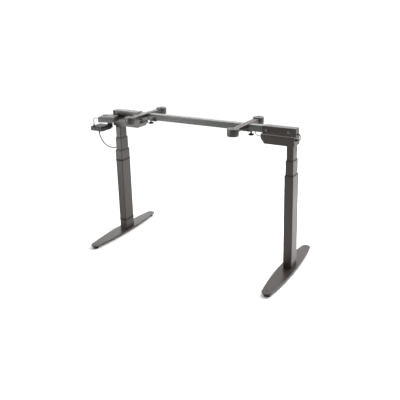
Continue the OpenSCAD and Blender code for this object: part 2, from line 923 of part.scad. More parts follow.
// Half of the handset's shell between two heights above its underside
module handset_shell(low, high) {
    difference() {
        translate([handset_x, handset_front + handset_d / 2, handset_z + low])
            linear_extrude(high - low)
                rounded_rect(handset_w, handset_d, 6);
        translate([handset_x, handset_front + handset_d / 2, handset_z + shell_wall])
            linear_extrude(handset_h - 2 * shell_wall)
                rounded_rect(handset_w - 2 * shell_wall, handset_d - 2 * shell_wall, 3.5);
        for (s = [-1, 1])
            translate([handset_x + s * button_pitch / 2, handset_front, handset_z + 16])
                cube([button_w + 2 * run_gap, 4 * shell_wall, button_h + 2 * run_gap],
                    center = true);
    }
}

module handset_base() {
    color("#1c1c1d")
        difference() {
            handset_shell(0, handset_seam);
            translate([handset_path[0][0], handset_path[0][1], handset_z - 1])
                cylinder(d = cord_d + 1, h = shell_wall + 2);
        }
}

module handset_cover() {
    color("#232324")
        difference() {
            handset_shell(handset_seam, handset_h);
            for (x = [-26, 26])
                translate([handset_x + x, handset_back - 30, handset_z + handset_h - shell_wall - 1])
                    cylinder(d = 5, h = shell_wall + 2);
        }
}

// Push button through the front wall of the handset
module handset_button(s) {
    color("#6f7173")
        translate([handset_x + s * button_pitch / 2 - button_w / 2,
                handset_front - button_stand, handset_z + 16 - button_h / 2])
            cube([button_w, button_len, button_h]);
}

// ---------- cables ----------

function unit(v) = v / norm(v);
function tangent(p, i) = unit(p[min(i + 1, len(p) - 1)] - p[max(i - 1, 0)]);
// A direction across the path that turns as little as it can from point to point
function carried(p, i) = i == 0
    ? unit(cross(tangent(p, 0), abs(tangent(p, 0)[0]) < 0.9 ? [1, 0, 0] : [0, 1, 0]))
    : let (t = tangent(p, i), u = carried(p, i - 1)) unit(u - t * (t * u));

// Round cable swept along a list of points
module cable(path, d) {
    n = len(path);
    rings = [
        for (i = [0 : n - 1])
            let (t = tangent(path, i), u = carried(path, i), v = cross(t, u))
                for (k = [0 : cord_sides - 1])
                    path[i] + d / 2 * (u * cos(360 * k / cord_sides) + v * sin(360 * k / cord_sides))
    ];
    walls = [
        for (i = [0 : n - 2], k = [0 : cord_sides - 1])
            let (a = i * cord_sides + k, b = i * cord_sides + (k + 1) % cord_sides)
                [a, a + cord_sides, b + cord_sides, b]
    ];
    ends = [
        [for (k = [0 : cord_sides - 1]) k],
        [for (k = [cord_sides - 1 : -1 : 0]) (n - 1) * cord_sides + k]
    ];
    polyhedron(rings, concat(walls, ends));
}

// Tapered gland or plug along +Z, with its wide end at the origin
module gland(wide, narrow, length) {
    cylinder(d1 = wide, d2 = narrow, h = length);
}

// Strain reliefs, plugs and grommets where the cables leave and enter
module cable_glands() {
    cord_top = handset_path[len(handset_path) - 1];
    end_low = end_cable_path[len(end_cable_path) - 1];
    color("#141414") {
        at_box()
            translate([-box_l / 2, 0, link_path[0][2] - box_z])
                rotate([0, -90, 0])
                    gland(13, link_d + 2, link_gland_l);
        translate([handset_x - 25, handset_front + 12, handset_z + handset_h])
            gland(12, link_d + 3, link_plug_l);
        translate([handset_x + 17, handset_front + 10, handset_z])
            rotate([180, 0, 0])
                gland(12, cord_d + 2, cord_relief_l);
        translate([cord_top[0], column_y + housing_d / 2, cord_top[2]])
            rotate([-90, 0, 0])
                gland(13, cord_d + 2, cord_plug_l);
        translate([left_x + housing_in(-1), left_cable_path[0][1], left_cable_path[0][2]])
            rotate([0, 90, 0])
                gland(11, motor_cable_d + 2, left_gland_l);
        translate([right_x - housing_in(1), right_cable_path[0][1], right_cable_path[0][2]])
            rotate([0, -90, 0])
                gland(11, motor_cable_d + 2, right_gland_l);
        translate([right_x + right_rail_out, end_cable_path[0][1], end_cable_path[0][2]])
            rotate([0, 90, 0])
                gland(11, motor_cable_d + 2, end_gland_l);
        translate([right_x + housing_out, end_low[1], end_low[2]])
            rotate([0, 90, 0])
                gland(14, motor_cable_d + 3, end_plug_l);
        grommet(left_cable_hole_x, cable_hole_y[1]);
        grommet(right_cable_hole_x, cable_hole_y[0]);
    }
}

// Rubber plug in a hole in the crossbar's underside
module grommet(x, y) {
    translate([x, y, bar_bottom - 2]) {
        cylinder(d = cable_hole_d - 2 * fit_gap, h = 2 + bar_wall);
        cylinder(d = cable_hole_d + 4, h = 2);
    }
}

module link_cable() {
    color("#6b6b6b")
        cable(link_path, link_d);
}

module handset_cord() {
    color("#1a1a1a")
        cable(handset_path, cord_d);
}

module left_motor_cable() {
    color("#1a1a1a")
        cable(left_cable_path, motor_cable_d);
}

module right_motor_cable() {
    color("#1a1a1a")
        cable(right_cable_path, motor_cable_d);
}

module right_end_cable() {
    color("#1a1a1a")
        cable(end_cable_path, motor_cable_d);
}

foot(-1);  // left_foot
foot(1);  // right_foot
outer_tube(-1);  // left_outer_tube
outer_tube(1);  // right_outer_tube
outer_glide(-1);  // left_outer_glide
outer_glide(1);  // right_outer_glide
foot_screws(-1);  // left_foot_screws
foot_screws(1);  // right_foot_screws
base_tube(-1);  // left_base_tube
base_tube(1);  // right_base_tube
left_straps();
leveller(-1, -1);  // left_front_leveller
leveller(-1, 1);  // left_rear_leveller
leveller(1, -1);  // right_front_leveller
leveller(1, 1);  // right_rear_leveller
middle_tube(-1);  // left_middle_tube
middle_tube(1);  // right_middle_tube
middle_glide(-1);  // left_middle_glide
middle_glide(1);  // right_middle_glide
push_tube(-1);  // left_push_tube
push_tube(1);  // right_push_tube
hollow_screw(-1);  // left_hollow_screw
hollow_screw(1);  // right_hollow_screw
upper_tube(-1);  // left_upper_tube
upper_tube(1);  // right_upper_tube
motor_housing(-1);  // left_motor_housing
motor_housing(1);  // right_motor_housing
gearmotors();
worm_shafts();
drive_screw(-1);  // left_drive_screw
drive_screw(1);  // right_drive_screw
worm_wheel(-1);  // left_worm_wheel
worm_wheel(1);  // right_worm_wheel
rail(-1);  // left_rail
rail(1);  // right_rail
rail_bolts();
crossbar();
arm(left_arm_x);  // left_arm
arm(right_arm_x);  // right_arm
arm_pads(left_arm_x);  // left_arm_pads
arm_pads(right_arm_x);  // right_arm_pads
clamp(left_arm_x, clip_x + clip_w);  // left_clamp
clamp(right_arm_x, 0);  // right_clamp
thumbscrew(left_arm_x);  // left_thumbscrew
thumbscrew(right_arm_x);  // right_thumbscrew
left_cable_clip();
hanger_bracket();
control_box_base();
control_box_cover();
control_board();
cable_glands();
handset_base();
handset_cover();
handset_button(1);  // up_button
handset_button(-1);  // down_button
link_cable();
handset_cord();
left_motor_cable();
right_motor_cable();
right_end_cable();
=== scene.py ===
import math

import bmesh
import bpy
from mathutils import Matrix, Vector


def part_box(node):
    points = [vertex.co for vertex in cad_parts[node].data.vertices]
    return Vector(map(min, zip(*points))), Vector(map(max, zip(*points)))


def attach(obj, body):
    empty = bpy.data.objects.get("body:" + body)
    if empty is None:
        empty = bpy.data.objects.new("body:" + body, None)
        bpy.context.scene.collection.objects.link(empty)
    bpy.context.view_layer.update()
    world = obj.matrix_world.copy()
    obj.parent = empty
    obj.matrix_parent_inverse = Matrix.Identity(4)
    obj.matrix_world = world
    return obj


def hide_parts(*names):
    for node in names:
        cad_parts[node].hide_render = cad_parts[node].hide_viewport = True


# Underframe of an electric height adjustable desk: two three-stage lifting columns on flat
# feet, a crossbar between their heads, two sliding arms for the desk top, a control box and
# a handset. Metres; +X along the crossbar, +Y to the back, +Z up, floor at Z = 0.
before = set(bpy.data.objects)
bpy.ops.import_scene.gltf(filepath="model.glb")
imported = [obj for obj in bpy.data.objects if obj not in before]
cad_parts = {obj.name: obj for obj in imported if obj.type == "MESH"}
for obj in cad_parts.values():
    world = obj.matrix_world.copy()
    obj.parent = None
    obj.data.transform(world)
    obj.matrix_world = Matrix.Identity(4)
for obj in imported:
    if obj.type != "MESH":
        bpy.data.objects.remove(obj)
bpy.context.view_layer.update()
mm = 0.001
sharp_angle = math.radians(32)
# Turns that lay a shape made along +Z with its end to the front, or to the back.
to_front = Matrix.Rotation(math.pi / 2, 4, "X")
to_back = Matrix.Rotation(-math.pi / 2, 4, "X")


# ---------- Camera ----------
# A normal lens at eye height in front of the desk and to its right, turned left and a little
# down. A small lens shift centres the frame in the picture.
def linked(name, data):
    """A new object in the scene."""
    piece = bpy.data.objects.new(name, data)
    bpy.context.scene.collection.objects.link(piece)
    return piece


camera = linked("camera", bpy.data.cameras.new("camera"))
camera.data.lens = 47.4
camera.data.sensor_width = 36
camera.data.shift_y = -0.15
eye_place = Vector((1.5715, -2.4706, 1.4433))
eye_turn, eye_dip, eye_roll = (math.radians(angle) for angle in (31.23, 14.74, -1.48))
camera.matrix_world = (
    Matrix.Translation(eye_place)
    @ Matrix.Rotation(eye_turn, 4, "Z")
    @ Matrix.Rotation(math.pi / 2 - eye_dip, 4, "X")
    @ Matrix.Rotation(eye_roll, 4, "Z")
)
bpy.context.scene.camera = camera


# ---------- Cables ----------
# Round stranded cables with an extruded PVC jacket. A grey link cable runs from the control
# box to the handset, the handset cord loops up to the left motor, and three short motor
# cables go into the crossbar and from the right rail to its motor.
def linear(colour):
    """Linear colour of an sRGB hex value."""
    parts = [int(colour[i:i + 2], 16) / 255 for i in (1, 3, 5)]
    curve = [p / 12.92 if p <= 0.04045 else ((p + 0.055) / 1.055) ** 2.4 for p in parts]
    return (*curve, 1.0)


def blank(name):
    """A material with no nodes but the object coordinates that its patterns follow."""
    material = bpy.data.materials.new(name)
    material.use_nodes = True
    material.node_tree.nodes.clear()
    return material, add(material, "ShaderNodeTexCoord").outputs["Object"]


def add(material, kind, inputs=None, **settings):
    """Adds a node: settings are its properties, inputs are links or plain values."""
    node = material.node_tree.nodes.new(kind)
    for key, value in settings.items():
        setattr(node, key, value)
    for key, value in (inputs or {}).items():
        if isinstance(value, bpy.types.NodeSocket):
            material.node_tree.links.new(value, node.inputs[key])
        else:
            node.inputs[key].default_value = value
    return node


def noise(material, where, size, detail=2.0):
    """Soft noise from 0 to 1, in patches of about the given size."""
    pattern = add(material, "ShaderNodeTexNoise",
                  {"Vector": where, "Scale": 1 / size, "Detail": detail})
    return pattern.outputs["Fac"]


def spread(material, value, low, high):
    """A pattern from 0 to 1, stretched to run from low to high."""
    stretch = add(material, "ShaderNodeMapRange", {"Value": value, "To Min": low, "To Max": high})
    return stretch.outputs["Result"]


def mixed(material, share, first, second):
    """Two sRGB hex colours mixed by a pattern."""
    tint = add(material, "ShaderNodeMix",
               {"Factor": share, "A": linear(first), "B": linear(second)}, data_type="RGBA")
    return tint.outputs["Result"]


def surface(material, relief, strength, depth, inputs):
    """Adds a relief of the given depth, the surface and the output."""
    bump = add(material, "ShaderNodeBump",
               {"Height": relief, "Strength": strength, "Distance": depth})
    skin = add(material, "ShaderNodeBsdfPrincipled", {**inputs, "Normal": bump.outputs["Normal"]})
    add(material, "ShaderNodeOutputMaterial", {"Surface": skin.outputs["BSDF"]})
    return material


def pvc_jacket(name, colour):
    """Extruded PVC: smooth along the cable, satin, with a faint drag in the surface."""
    material, where = blank(name)
    drag = noise(material, where, 2.5 * mm, 3.0)
    return surface(material, drag, 0.3, 0.1 * mm, {
        "Base Color": linear(colour), "IOR": 1.53, "Roughness": spread(material, drag, 0.36, 0.52)})


def cable(name, node, route, diameter, jacket):
    """A cable on the top frame, from its exit through the points of its route."""
    curve = bpy.data.curves.new(name, "CURVE")
    curve.dimensions = "3D"
    curve.bevel_depth = diameter / 2
    curve.bevel_resolution = 4
    curve.resolution_u = 5
    curve.use_fill_caps = True
    line = curve.splines.new("BEZIER")
    line.bezier_points.add(len(route) - 1)
    for point, place in zip(line.bezier_points, route):
        point.co = place
        point.handle_left_type = point.handle_right_type = "AUTO"
    curve.materials.append(jacket)
    piece = linked(name, curve)
    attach(piece, "top_frame")
    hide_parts(node)


link_route = [
    (-0.59, -0.0985, 0.769), (-0.594, -0.1, 0.769), (-0.598, -0.101, 0.769),
    (-0.602, -0.102, 0.769), (-0.606, -0.1025, 0.769), (-0.61, -0.103, 0.769),
    (-0.614, -0.103, 0.7685), (-0.618, -0.1025, 0.767), (-0.6215, -0.102, 0.765),
    (-0.6245, -0.101, 0.762), (-0.6265, -0.1, 0.7585), (-0.6275, -0.099, 0.7545),
    (-0.628, -0.098, 0.75), (-0.628, -0.098, 0.745), (-0.628, -0.098, 0.74),
    (-0.628, -0.098, 0.734), (-0.628, -0.098, 0.728),
]
handset_route = [
    (-0.586, -0.1, 0.68), (-0.586, -0.1, 0.671), (-0.585, -0.098, 0.66), (-0.584, -0.092, 0.646),
    (-0.583, -0.082, 0.626), (-0.582, -0.068, 0.606), (-0.58, -0.05, 0.588),
    (-0.578, -0.028, 0.573), (-0.577, -0.004, 0.562), (-0.576, 0.022, 0.556),
    (-0.575, 0.048, 0.554), (-0.571, 0.07, 0.556), (-0.562, 0.084, 0.563), (-0.551, 0.091, 0.576),
    (-0.543, 0.093, 0.596), (-0.54, 0.093, 0.62), (-0.539, 0.093, 0.65), (-0.538, 0.092, 0.68),
    (-0.537, 0.092, 0.706), (-0.536, 0.092, 0.722), (-0.535, 0.089, 0.734), (-0.535, 0.082, 0.738),
    (-0.535, 0.077, 0.738),
]
left_motor_route = [
    (-0.331, 0.002, 0.746), (-0.328, 0.002, 0.746), (-0.323, 0.002, 0.7455),
    (-0.318, 0.002, 0.7445), (-0.313, 0.002, 0.7435), (-0.308, 0.002, 0.7435),
    (-0.3035, 0.0025, 0.744), (-0.3, 0.005, 0.7455), (-0.298, 0.0085, 0.7475),
    (-0.298, 0.0125, 0.75), (-0.3005, 0.016, 0.752), (-0.3045, 0.018, 0.754),
    (-0.309, 0.0185, 0.7555), (-0.313, 0.018, 0.7565), (-0.316, 0.018, 0.7574),
    (-0.3187, 0.018, 0.7585), (-0.3209, 0.018, 0.7603), (-0.3225, 0.018, 0.7624),
    (-0.3236, 0.018, 0.765), (-0.324, 0.018, 0.7676), (-0.324, 0.018, 0.769),
]
right_motor_route = [
    (0.444, 0.006, 0.746), (0.441, 0.006, 0.746), (0.437, 0.006, 0.746), (0.433, 0.006, 0.7465),
    (0.429, 0.006, 0.7475), (0.4255, 0.006, 0.749), (0.4225, 0.006, 0.751), (0.42, 0.006, 0.7535),
    (0.4175, 0.006, 0.7565), (0.4155, 0.006, 0.76), (0.4145, 0.006, 0.763), (0.414, 0.006, 0.766),
    (0.414, 0.006, 0.769),
]
rail_end_route = [
    (0.655, 0.008, 0.776), (0.657, 0.008, 0.776), (0.66, 0.008, 0.775), (0.6625, 0.0085, 0.773),
    (0.6645, 0.009, 0.77), (0.666, 0.0095, 0.7665), (0.667, 0.01, 0.7625), (0.667, 0.0105, 0.758),
    (0.6665, 0.011, 0.754), (0.665, 0.011, 0.7505), (0.6625, 0.0115, 0.747), (0.66, 0.012, 0.745),
    (0.6575, 0.012, 0.7435), (0.6545, 0.012, 0.743), (0.652, 0.012, 0.743),
]
black_jacket = pvc_jacket("black_pvc_jacket", "#1b1b1c")
grey_jacket = pvc_jacket("grey_pvc_jacket", "#8b8c8d")
cable("link_lead", "link_cable", link_route, 5 * mm, grey_jacket)
cable("handset_lead", "handset_cord", handset_route, 6 * mm, black_jacket)
cable("left_motor_lead", "left_motor_cable", left_motor_route, 4 * mm,
      black_jacket)
cable("right_motor_lead", "right_motor_cable", right_motor_route, 4 * mm,
      black_jacket)
cable("rail_end_lead", "right_end_cable", rail_end_route, 4 * mm,
      black_jacket)


# ---------- Feet ----------
# Two leaf-shaped plates, laser cut from 8 mm steel with the edges broken, a nut welded under
# each tip. Every painted piece of the frame wears the same graphite powder coat, baked on.
def powder_coat(name, colour, light_colour):
    """Semi-gloss polyester powder coat: even colour, a fine orange peel that softens the
    reflections, and a slow change of gloss over each piece."""
    material, where = blank(name)
    peel = noise(material, where, 1.6 * mm)
    drift = noise(material, where, 90 * mm, 4.0)
    return surface(material, peel, 0.35, 0.08 * mm, {
        "Base Color": mixed(material, drift, colour, light_colour), "IOR": 1.5,
        "Roughness": spread(material, drift, 0.3, 0.42)})


def soften(part, edge):
    """Breaks the sharp edges of a piece and smooths its shading."""
    part.data.polygons.foreach_set("use_smooth", [True] * len(part.data.polygons))
    part.modifiers.new("weld", "WELD").merge_threshold = 0.01 * mm
    bevel = part.modifiers.new("edges", "BEVEL")
    bevel.width = edge
    bevel.segments = 2
    bevel.limit_method = "ANGLE"
    bevel.angle_limit = sharp_angle
    part.modifiers.new("normals", "WEIGHTED_NORMAL")


def dress(nodes, material, edge):
    """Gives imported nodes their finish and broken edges."""
    for node in nodes:
        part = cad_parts[node]
        part.data.materials.clear()
        part.data.materials.append(material)
        soften(part, edge)


def zinc_plate(name, colour, patch):
    """Plated steel: even grey with soft clouds a few millimetres across."""
    material, where = blank(name)
    cloud = noise(material, where, patch, 5.0)
    return surface(material, cloud, 0.2, 0.05 * mm, {
        "Base Color": linear(colour), "Metallic": 1.0,
        "Roughness": spread(material, cloud, 0.22, 0.46)})


graphite_coat = powder_coat("graphite_powder_coat", "#1e1713", "#271f1a")
zinc = zinc_plate("zinc_plated_steel", "#a9abad", 4 * mm)
dress(["left_foot", "right_foot"], graphite_coat, 1.0 * mm)
dress(["left_foot_screws", "right_foot_screws"], zinc, 0.3 * mm)


# ---------- Levellers ----------
# Screw-in feet: a moulded nylon pad with finger scallops round its rim on a blackened M8
# stud, turned from above with a hexagon key through the hole in the foot.
def moulded(name, colour, rough_low, rough_high, grain_size, depth):
    """Injection moulded plastic: the mould's spark texture as a fine even grain, and gloss
    that wanders a little with handling."""
    material, where = blank(name)
    spark = add(material, "ShaderNodeTexVoronoi", {"Vector": where, "Scale": 1 / grain_size},
                feature="SMOOTH_F1")
    handling = noise(material, where, 35 * mm)
    return surface(material, spark.outputs["Distance"], 0.4, depth, {
        "Base Color": linear(colour), "IOR": 1.5,
        "Roughness": spread(material, handling, rough_low, rough_high)})


def from_bmesh(name, solid, place):
    """An object made of a bmesh and moved to its place."""
    mesh = bpy.data.meshes.new(name)
    bmesh.ops.recalc_face_normals(solid, faces=solid.faces)
    solid.to_mesh(mesh)
    solid.free()
    mesh.transform(place)
    return linked(name, mesh)


def piece_from(solid, name, place, body, material, nodes):
    """Makes a finished piece of a bmesh, at its place, riding on its body."""
    part = from_bmesh(name, solid, place)
    part.data.polygons.foreach_set("use_smooth", [True] * len(part.data.polygons))
    part.data.materials.append(material)
    part.data.set_sharp_from_angle(angle=sharp_angle)
    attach(part, body)
    if nodes:
        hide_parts(*nodes)
    return part


def turned(profile, sides=48):
    """Closed solid turned about Z. Each point of the profile is (radius, height, rim), and
    rim is 0 for round, 6 for a hexagon, or a larger number for that many flutes."""
    flute_depth = 0.035
    solid = bmesh.new()
    rings = []
    for radius, height, rim in profile:
        ring = []
        for i in range(sides if radius else 1):
            angle = 2 * math.pi * i / sides
            reach = radius
            if rim == 6:
                reach *= math.cos(math.pi / 6) / math.cos(angle % (math.pi / 3) - math.pi / 6)
            elif rim:
                reach *= 1 - flute_depth + flute_depth * math.cos(rim * angle)
            ring.append(solid.verts.new((reach * math.cos(angle), reach * math.sin(angle), height)))
        rings.append(ring)
    for low, high in zip(rings, rings[1:]):
        for i in range(sides):
            corners = [low[i % len(low)], low[(i + 1) % len(low)],
                       high[(i + 1) % len(high)], high[i % len(high)]]
            corners = list(dict.fromkeys(corners))
            if len(corners) > 2:
                solid.faces.new(corners)
    return solid


leveller_nylon = moulded("black_nylon", "#1c1c1d", 0.45, 0.6, 1.2 * mm, 0.06 * mm)
stud_steel = zinc_plate("blackened_stud", "#343435", 3 * mm)
thread_pitch = 1.25 * mm
root_r, crest_r, neck_h, socket_depth = 3.4 * mm, 4 * mm, 6.6 * mm, 4 * mm
for side in ("left", "right"):
    for end in ("front", "rear"):
        node = f"{side}_{end}_leveller"
        low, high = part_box(node)
        place = Matrix.Translation(((low.x + high.x) / 2, (low.y + high.y) / 2, low.z))
        pad_r = (high.x - low.x) / 2
        stud_top = high.z - low.z
        piece_from(turned([
            (0, 0, 0), (pad_r * 0.86, 0, 0), (pad_r * 0.97, 0.6 * mm, 0), (pad_r, 1.8 * mm, 12),
            (pad_r, 3.6 * mm, 12), (pad_r * 0.93, 4.9 * mm, 12), (pad_r * 0.7, 5.6 * mm, 0),
            (pad_r * 0.5, 5.8 * mm, 0), (pad_r * 0.42, 6.2 * mm, 0), (pad_r * 0.4, neck_h, 0),
            (0, neck_h, 0)], 96), node + "_pad", place, node, leveller_nylon,
            [node])
        thread = [(0, 6.4 * mm, 0)]
        turns = int((stud_top - neck_h) / thread_pitch)
        for i in range(turns):
            at = neck_h + i * thread_pitch
            thread += [(root_r, at, 0), (crest_r, at + thread_pitch / 2, 0)]
        thread += [(root_r, stud_top - 0.4 * mm, 0), (3 * mm, stud_top, 0),
                   (2.4 * mm, stud_top, 6), (2.4 * mm, stud_top - socket_depth, 6),
                   (0, stud_top - socket_depth, 0)]
        piece_from(turned(thread, 36), node + "_stud", place, node, stud_steel,
                   [node])


# ---------- Outer tubes ----------
# Rectangular steel tubes, 50 by 80 mm, screwed to the feet through a flange inside. A moulded
# black nylon glide is pushed into each mouth and shows as a thin dark lip.
dress(["left_outer_tube", "right_outer_tube"], graphite_coat, 0.4 * mm)
glide_nylon = moulded("glide_nylon", "#0f0f10", 0.6, 0.75, 1.5 * mm, 0.04 * mm)
glides = ["left_outer_glide", "right_outer_glide", "left_middle_glide", "right_middle_glide"]
dress(glides, glide_nylon, 0.4 * mm)


# ---------- Straps on the left column ----------
# Two bands of woven hook-and-loop webbing round the outer tube, each closed on itself at the
# front with a square tab. They hold a mains lead to the column when there is one.
def rounded(corners, steps=6):
    """Closed outline from (x, y, radius) corners, each turned with an arc."""
    outline = []
    for i, (x, y, radius) in enumerate(corners):
        here = Vector((x, y))
        before = (Vector(corners[i - 1][:2]) - here).normalized()
        after = (Vector(corners[(i + 1) % len(corners)][:2]) - here).normalized()
        if not radius:
            outline.append(here)
            continue
        half = before.angle(after) / 2
        middle = here + (before + after).normalized() * radius / math.sin(half)
        first = here + before * radius / math.tan(half) - middle
        last = here + after * radius / math.tan(half) - middle
        swing = first.angle_signed(last)
        for k in range(steps + 1):
            outline.append(middle + Matrix.Rotation(-swing * k / steps, 2) @ first)
    return outline


def rounded_box(width, depth, radius, steps=6):
    """Outline of a rectangle about the origin with round corners."""
    x, y = width / 2, depth / 2
    return rounded([(x, -y, radius), (x, y, radius), (-x, y, radius), (-x, -y, radius)], steps)


def shrunk(outline, inset):
    """The outline moved inwards by inset, along the mean of each point's two edges."""
    moved = []
    for i, here in enumerate(outline):
        before, after = outline[i - 1], outline[(i + 1) % len(outline)]
        way = (after - before).normalized()
        moved.append(here + Vector((-way.y, way.x)) * inset)
    return moved


def slab(outline, low, high, rim_low, rim_high, steps=4):
    """Closed solid over an outline, between two heights, with rounded rims."""
    same_height, no_inset = 1e-6, 1e-7
    rows = []
    for k in range(steps + 1):
        turn = math.pi / 2 * k / steps
        rows.append((rim_low * (1 - math.sin(turn)), low + rim_low * (1 - math.cos(turn))))
    for k in range(steps + 1):
        turn = math.pi / 2 * (1 - k / steps)
        rows.append((rim_high * (1 - math.sin(turn)), high - rim_high * (1 - math.cos(turn))))
    solid = bmesh.new()
    rings = []
    for inset, height in rows:
        if rings and height - rings[-1][0].co.z < same_height:
            continue
        line = shrunk(outline, inset) if inset > no_inset else outline
        rings.append([solid.verts.new((p.x, p.y, height)) for p in line])
    count = len(outline)
    for lower, upper in zip(rings, rings[1:]):
        for i in range(count):
            j = (i + 1) % count
            solid.faces.new([lower[i], lower[j], upper[j], upper[i]])
    solid.faces.new(rings[0][::-1])
    solid.faces.new(rings[-1])
    return solid


def woven(name, colour, light_colour, thread):
    """Nylon webbing: threads over and under each other, painted darker in the hollows as shade.
    Real threads are about 0.5 mm, and are drawn twice as coarse so that they show."""
    material, where = blank(name)
    axes = add(material, "ShaderNodeSeparateXYZ", {"Vector": where})
    along = add(material, "ShaderNodeMath", {0: axes.outputs["X"], 1: axes.outputs["Y"]},
                operation="ADD")
    waves = []
    for distance in (along.outputs["Value"], axes.outputs["Z"]):
        turns = add(material, "ShaderNodeMath", {0: distance, 1: math.pi / thread},
                    operation="MULTIPLY")
        waves.append(add(material, "ShaderNodeMath", {0: turns.outputs["Value"]}, operation="SINE"))
    weave = add(material, "ShaderNodeMath",
                {0: waves[0].outputs["Value"], 1: waves[1].outputs["Value"]}, operation="MULTIPLY")
    height = add(material, "ShaderNodeMapRange",
                 {"Value": weave.outputs["Value"], "From Min": -1.0, "From Max": 1.0})
    relief = height.outputs["Result"]
    # The colour follows the relief, darker where the weave is low: painted shade in the hollows.
    return surface(material, relief, 0.8, 0.3 * mm, {
        "Base Color": mixed(material, relief, colour, light_colour), "Roughness": 0.85,
        "IOR": 1.5, "Sheen Weight": 0.08, "Sheen Roughness": 0.5})


webbing = woven("hook_and_loop_webbing", "#080808", "#141414", 1.0 * mm)
strap_t, strap_h, soft_rim, slack = 1.5 * mm, 12 * mm, 0.5 * mm, 0.2 * mm
tube_low, tube_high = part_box("left_outer_tube")
tube_w, tube_d = tube_high.x - tube_low.x, tube_high.y - tube_low.y
tube_middle = (tube_low + tube_high) / 2
strap_low, strap_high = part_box("left_straps")
for name, bottom in (("lower", strap_low.z), ("upper", strap_high.z - strap_h)):
    ring = bmesh.new()
    inner = rounded_box(tube_w + slack, tube_d + slack, 4.1 * mm)
    outer = rounded_box(tube_w + 2 * strap_t, tube_d + 2 * strap_t, 5.5 * mm)
    rows = [(inner, 0), (inner, strap_h), (shrunk(outer, soft_rim), strap_h),
            (outer, strap_h - soft_rim), (outer, soft_rim), (shrunk(outer, soft_rim), 0)]
    loops = [[ring.verts.new((p.x, p.y, z)) for p in line] for line, z in rows]
    for a, b in zip(loops, loops[1:] + loops[:1]):
        for i in range(len(a)):
            j = (i + 1) % len(a)
            ring.faces.new([a[i], a[j], b[j], b[i]])
    place = Matrix.Translation((tube_middle.x, tube_middle.y, bottom))
    piece_from(ring, f"{name}_strap", place, "left_base", webbing, ["left_straps"])
    tab = slab(rounded_box(26 * mm, strap_h - 1 * mm, 2 * mm), 0, 1.1 * mm, 0.2 * mm, 0.5 * mm)
    place = (Matrix.Translation((tube_middle.x + 8 * mm, tube_middle.y - tube_d / 2 - strap_t,
                                 bottom + strap_h / 2)) @ to_front)
    piece_from(tab, f"{name}_strap_tab", place, "left_base", webbing, ["left_straps"])


# ---------- Middle and upper tubes ----------
# Thinner rectangular steel tubes that telescope into the outer ones, coated all over before
# they are assembled.
stages = ["left_middle_tube", "right_middle_tube", "left_upper_tube", "right_upper_tube"]
dress(stages, graphite_coat, 0.4 * mm)


# ---------- Lifting screws ----------
# Inside each column stand a rolled steel screw, a hollow screw round it, a push tube and a
# standing tube. Rolled threads catch the light as close rings along the bar.
def rolled_thread(name, colour, pitch):
    """Rolled thread: rings one pitch apart along Z, bright on the crests and greasy below."""
    material, where = blank(name)
    rings = add(material, "ShaderNodeTexWave",
                {"Vector": where, "Scale": math.pi / 10 / pitch, "Distortion": 0.0},
                bands_direction="Z", wave_profile="SIN").outputs["Fac"]
    return surface(material, rings, 0.9, 0.8 * mm, {
        "Base Color": linear(colour), "Metallic": 1.0,
        "Roughness": spread(material, rings, 0.5, 0.22)})


screw_steel = rolled_thread("rolled_screw_steel", "#b4b6b8", 3 * mm)
for side in ("left", "right"):
    dress([f"{side}_drive_screw", f"{side}_hollow_screw"], screw_steel, 0.3 * mm)
    dress([f"{side}_base_tube", f"{side}_push_tube"], zinc, 0.3 * mm)


# ---------- Motor housings ----------
# Tubs of folded 2.5 mm sheet under the head plates, coated with the frame and held by small
# pan head screws through their front and back walls. Each hides a worm gearmotor.
dress(["left_motor_housing", "right_motor_housing"], graphite_coat, 0.6 * mm)
screw_black = zinc_plate("black_zinc_screw", "#4b4b4d", 2 * mm)
for side, places in (("left", (24, 150)), ("right", (18, 130))):
    low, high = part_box(f"{side}_motor_housing")
    for i, along in enumerate(places):
        x = high.x - along * mm if side == "right" else low.x + along * mm
        for face, y, turn in (("front", low.y, to_front), ("back", high.y, to_back)):
            place = Matrix.Translation((x, y, high.z - 22 * mm)) @ turn
            piece_from(turned([
                (0, -1 * mm, 0), (2 * mm, -1 * mm, 0), (2 * mm, 0, 0), (4 * mm, 0, 0),
                (4 * mm, 0.9 * mm, 0), (3.4 * mm, 1.9 * mm, 0), (2 * mm, 2.3 * mm, 0),
                (1.5 * mm, 2.3 * mm, 6), (1.4 * mm, 1 * mm, 6), (0, 1 * mm, 0)], 36),
                f"{side}_housing_screw_{face}_{i + 1}", place, "top_frame", screw_black,
                [])


# ---------- Gearmotors ----------
# A die cast gear case with a steel motor can beside it, a turned worm on the motor shaft and
# a bronze worm wheel on the lifting screw. Cast metal is matt with a coarse, sandy skin.
def cast_alloy(name, colour, grit):
    """Die cast aluminium: dull grey metal with a sandy skin and darker pits."""
    material, where = blank(name)
    sand = noise(material, where, grit, 6.0)
    return surface(material, sand, 0.6, 0.2 * mm, {
        "Base Color": linear(colour), "Metallic": 1.0,
        "Roughness": spread(material, sand, 0.45, 0.7)})


dress(["gearmotors"], cast_alloy("die_cast_aluminium", "#7c7e80", 2 * mm), 0.6 * mm)
dress(["worm_shafts"], zinc_plate("ground_shaft_steel", "#b2b4b6", 6 * mm), 0.2 * mm)
bronze = cast_alloy("cast_bronze", "#a9854a", 1.2 * mm)
dress(["left_worm_wheel", "right_worm_wheel"], bronze, 0.2 * mm)
